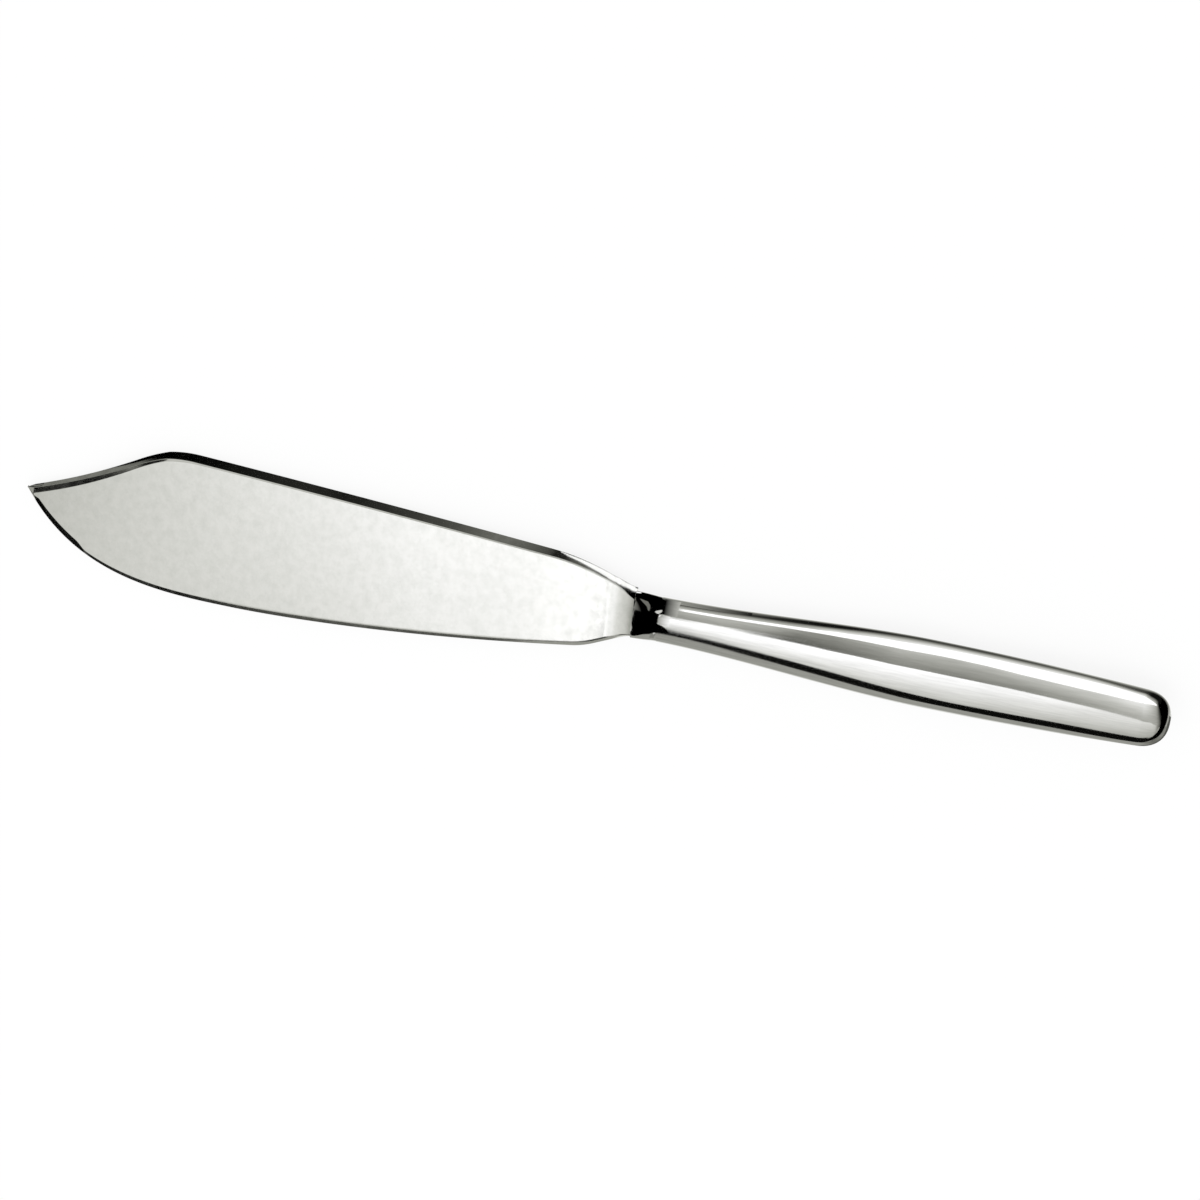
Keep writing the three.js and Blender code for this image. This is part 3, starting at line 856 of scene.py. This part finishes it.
WINDOW_GLOW = [
    (-0.6, 0.35), (-0.55, 0.45), (-0.36, 0.6), (0.4, 0.7), (0.485, 0.45), (0.58, 0.0), (0.7, 0.0),
    (0.8, 0.5),
]
FADE_GLOW = [
    (-0.6, 0.35), (-0.55, 0.45), (-0.36, 0.6), (-0.037, 0.6), (-0.02, 1.1), (0.19, 1.2), (0.22, 0.85),
    (0.4, 0.7), (0.56, 0.0), (0.7, 0.0), (0.8, 0.5),
]
DARK_GLOW = [
    (-0.5, 0.0), (-0.49, 0.25), (-0.461, 0.25), (-0.455, 0.0), (-0.17, 0.0), (-0.15, 0.01),
    (-0.127, 0.025), (-0.112, 0.008), (-0.089, 0.03), (-0.063, 0.08), (-0.046, 0.1), (-0.035, 0.02),
    (-0.01, 0.005), (0.02, 0.012), (0.05, 0.045), (0.14, 0.085), (0.18, 0.1), (0.21, 0.03),
    (0.28, 0.006),
]
RIM_GLOW = [
    (-0.42, 0.3), (-0.36, 0.7), (-0.03, 0.95), (0.03, 0.95), (0.06, 0.7), (0.11, 0.72), (0.15, 1.4),
    (0.22, 1.3), (0.56, 0.6),
]
LOW_RIM_GLOW = [(-0.42, 0.3), (-0.36, 0.75), (0.12, 0.75), (0.16, 0.4), (0.2, 0.1)]


def along(stops, x):
    """Straight-line reading between stops of (place along X, value)."""
    if x <= stops[0][0]:
        return stops[0][1]
    for (x0, a), (x1, b) in zip(stops, stops[1:]):
        if x <= x1:
            return mix(a, b, (x - x0) / (x1 - x0))
    return stops[-1][1]


def glow_material():
    """Light of the cards, read from the brightness that is set at their corners."""
    material, tree = new_material("card glow")
    colour = add_node(tree, "ShaderNodeAttribute", attribute_name="glow").outputs["Color"]
    glow = add_node(tree, "ShaderNodeEmission", {"Color": colour, "Strength": 1.0})
    add_node(tree, "ShaderNodeOutputMaterial", {"Surface": glow.outputs["Emission"]})
    material.cycles.emission_sampling = "NONE"
    return material


def stage_object(name, points, faces, material):
    mesh = bpy.data.meshes.new(name)
    mesh.from_pydata(points, [], faces)
    mesh.materials.append(material)
    thing = bpy.data.objects.new(name, mesh)
    bpy.context.scene.collection.objects.link(thing)
    return thing


def glowing_sheet(name, rows, glows):
    """A sheet through rows of points, seen only in mirrors, with a brightness at each point."""
    count = len(rows[0])
    faces = []
    for i in range(len(rows) - 1):
        for j in range(count - 1):
            a = i * count + j
            faces.append((a, a + 1, a + count + 1, a + count))
    sheet = stage_object(name, [p for row in rows for p in row], faces, card_glow)
    colours = sheet.data.color_attributes.new("glow", "FLOAT_COLOR", "POINT")
    for spot, value in zip(colours.data, (g for row in glows for g in row)):
        bright = clamp(value / WHITE_GLOW)
        spot.color = (value * mix(DIM_RED, 1.0, bright), value, value * mix(DIM_BLUE, 1.0, bright), 1.0)
    sheet.visible_camera = False
    sheet.visible_diffuse = False
    sheet.visible_shadow = False
    sheet.visible_transmission = False
    sheet.visible_volume_scatter = False


def card(name, low_edge, high_edge, low_glow, high_glow):
    """A long card bent round the X axis, whose brightness blends from its low to its high edge."""
    stops = [x for line in (low_edge, high_edge, low_glow, high_glow) for x, _ in line]
    even = [mix(-CARD_REACH, CARD_REACH, i * CARD_STEP / 2) for i in range(round(2 / CARD_STEP) + 1)]
    places = sorted(set(stops + even))
    widest = max(along(high_edge, x) - along(low_edge, x) for x in places)
    steps = max(2, math.ceil(widest / CARD_STEP_ANGLE))
    rows = []
    glows = []
    for x in places:
        ring = [mix(along(low_edge, x), along(high_edge, x), j / steps) for j in range(steps + 1)]
        turns = [math.radians(a) for a in ring]
        rows.append([(x, CARD_RADIUS * math.sin(a), CARD_RADIUS * math.cos(a)) for a in turns])
        glows.append([mix(along(low_glow, x), along(high_glow, x), j / steps) for j in range(steps + 1)])
    glowing_sheet(name, rows, glows)


def floor_strip(name, rows, glow):
    """A strip on the floor along the spine, through rows of (place along X, near side, far side)."""
    near = [(x, reach) for x, reach, _ in rows]
    far = [(x, reach) for x, _, reach in rows]
    sheet = []
    for i in range(STRIP_STEPS + 1):
        x = mix(rows[0][0], rows[-1][0], i / STRIP_STEPS)
        spine = top_edge(min(x, BOLSTER_FRONT))
        spots = [place @ Vector((x, spine + along(reach, x), 0)) for reach in (near, far)]
        sheet.append([(spot.x, spot.y, cad_box[0].z + STRIP_RISE) for spot in spots])
    glowing_sheet(name, sheet, [[glow, glow]] * len(sheet))


def small_card(name, radius, first_glow, last_glow, rows):
    """A card bent round the knife's own axis, through rows of (angle, first X, last X)."""
    sheet = []
    for (a0, *ends0), (a1, *ends1) in zip(rows, rows[1:]):
        steps = math.ceil((a1 - a0) / SMALL_STEP_ANGLE)
        for i in range(steps + 1):
            t = i / steps
            turn = math.radians(mix(a0, a1, t))
            sheet.append([
                place @ Vector((mix(p, q, t), radius * math.sin(turn), radius * math.cos(turn)))
                for p, q in zip(ends0, ends1)
            ])
    glowing_sheet(name, sheet, [[first_glow, last_glow]] * len(sheet))


def butt_block():
    """The small dark card that stands just past the butt."""
    x = HANDLE_LENGTH + BLOCK_GAP
    rows = [[place @ Vector((x, y, z)) for z in (low, high)] for y, low, high in BLOCK_EDGES]
    glowing_sheet("card_butt_block", rows, [[BLOCK_GLOW, BLOCK_GLOW]] * len(rows))


def handle_window():
    """The bright strip over the handle."""
    rows = []
    for x, low, high in HANDLE_WINDOW:
        row = []
        for j in range(HANDLE_WINDOW_STEPS + 1):
            turn = math.radians(mix(low, high, j / HANDLE_WINDOW_STEPS))
            across = HANDLE_WINDOW_RADIUS * math.sin(turn)
            row.append(place @ Vector((x, across, HANDLE_WINDOW_RADIUS * math.cos(turn))))
        rows.append(row)
    glowing_sheet("card_handle_window", rows, [[HANDLE_WINDOW_GLOW] * len(rows[0])] * len(rows))


def build_cards():
    """All the cards, which only mirrors show."""
    card("card_side_rim", DARK_HIGH, SIDE_RIM, DARK_GLOW, RIM_GLOW)
    card("card_floor_rim", SIDE_RIM, FLOOR_RIM, LOW_RIM_GLOW, LOW_RIM_GLOW)
    card("card_under", UNDER_EDGE, SHADE_LOW, UNDER_GLOW, UNDER_GLOW)
    card("card_shade", SHADE_LOW, SHADE_HIGH, SHADE_GLOW, SHADE_GLOW)
    card("card_panel", SHADE_HIGH, PANEL_HIGH, PANEL_LOW_GLOW, PANEL_HIGH_GLOW)
    card("card_middle", PANEL_HIGH, WINDOW_LOW, MIDDLE_LOW_GLOW, MIDDLE_HIGH_GLOW)
    card("card_window", WINDOW_LOW, WINDOW_HIGH, WINDOW_GLOW, WINDOW_GLOW)
    card("card_fade", WINDOW_HIGH, DARK_LOW, FADE_GLOW, DARK_GLOW)
    card("card_dark", DARK_LOW, DARK_HIGH, DARK_GLOW, DARK_GLOW)
    r = CARD_RADIUS
    for name, x in (("card_end_tip", -CARD_REACH), ("card_end_butt", CARD_REACH)):
        rows = [[(x, -r, z), (x, r, z)] for z in (-r, r)]
        glowing_sheet(name, rows, [[END_GLOW, END_GLOW]] * len(rows))
    butt_block()
    handle_window()
    floor_strip("card_shoulder_strip", SHOULDER_STRIP, SHOULDER_GLOW)
    floor_strip("card_clip_strip", CLIP_STRIP, CLIP_GLOW)
    for name, (radius, first_glow, last_glow, rows) in SMALL_CARDS.items():
        small_card(name, radius, first_glow, last_glow, rows)


def build_floor():
    """The plain white floor, which mirrors leave out."""
    material, tree = new_material("floor paper")
    spot = add_node(tree, "ShaderNodeTexCoord").outputs["Object"]
    fibres = noise(tree, spot, PAPER_GRAIN, PAPER_DETAIL)
    tone = add_node(tree, "ShaderNodeMix", {
        "Factor": fibres,
        "A": PAPER_DARK,
        "B": PAPER_PALE,
    }, data_type="RGBA")
    paper = add_node(tree, "ShaderNodeBsdfDiffuse", {"Color": tone.outputs["Result"]})
    white = add_node(tree, "ShaderNodeEmission", {"Color": WHITE, "Strength": 1.0})
    path = add_node(tree, "ShaderNodeLightPath").outputs
    mirrored = add_node(tree, "ShaderNodeMath", {
        0: path["Is Glossy Ray"],
        1: path["Is Transmission Ray"],
    })
    seen = add_node(tree, "ShaderNodeMath", {0: path["Is Camera Ray"], 1: mirrored.outputs["Value"]})
    share = map_range(tree, seen.outputs["Value"], 0.0, 1.0, 0.0, FLOOR_GLOW)
    surface = add_node(tree, "ShaderNodeMixShader", {
        0: share,
        1: paper.outputs["BSDF"],
        2: white.outputs["Emission"],
    })
    add_node(tree, "ShaderNodeOutputMaterial", {"Surface": surface.outputs["Shader"]})
    material.cycles.emission_sampling = "NONE"
    h = FLOOR_SIZE / 2
    z = cad_box[0].z - FLOOR_DROP
    corners = [(-h, -h, z), (h, -h, z), (h, h, z), (-h, h, z)]
    floor = stage_object("floor", corners, [(0, 1, 2, 3)], material)
    floor.visible_glossy = False


def build_light():
    """White surroundings and one soft lamp overhead."""
    world = bpy.data.worlds.new("white surroundings")
    world.use_nodes = True
    background = world.node_tree.nodes["Background"]
    background.inputs["Color"].default_value = WHITE
    background.inputs["Strength"].default_value = 1.0
    bpy.context.scene.world = world
    data = bpy.data.lights.new("soft lamp", "AREA")
    data.shape = "DISK"
    data.size = LAMP_SIZE
    data.energy = LAMP_ENERGY
    data.specular_factor = 0.0
    lamp = bpy.data.objects.new("soft lamp", data)
    lamp.location = LAMP_PLACE
    lamp.rotation_euler = (LAMP_TILT, 0, 0)
    lamp.visible_glossy = False
    lamp.visible_camera = False
    bpy.context.scene.collection.objects.link(lamp)


build_camera()
build_floor()
build_light()
card_glow = glow_material()
build_cards()
bpy.context.scene.view_settings.view_transform = "Standard"
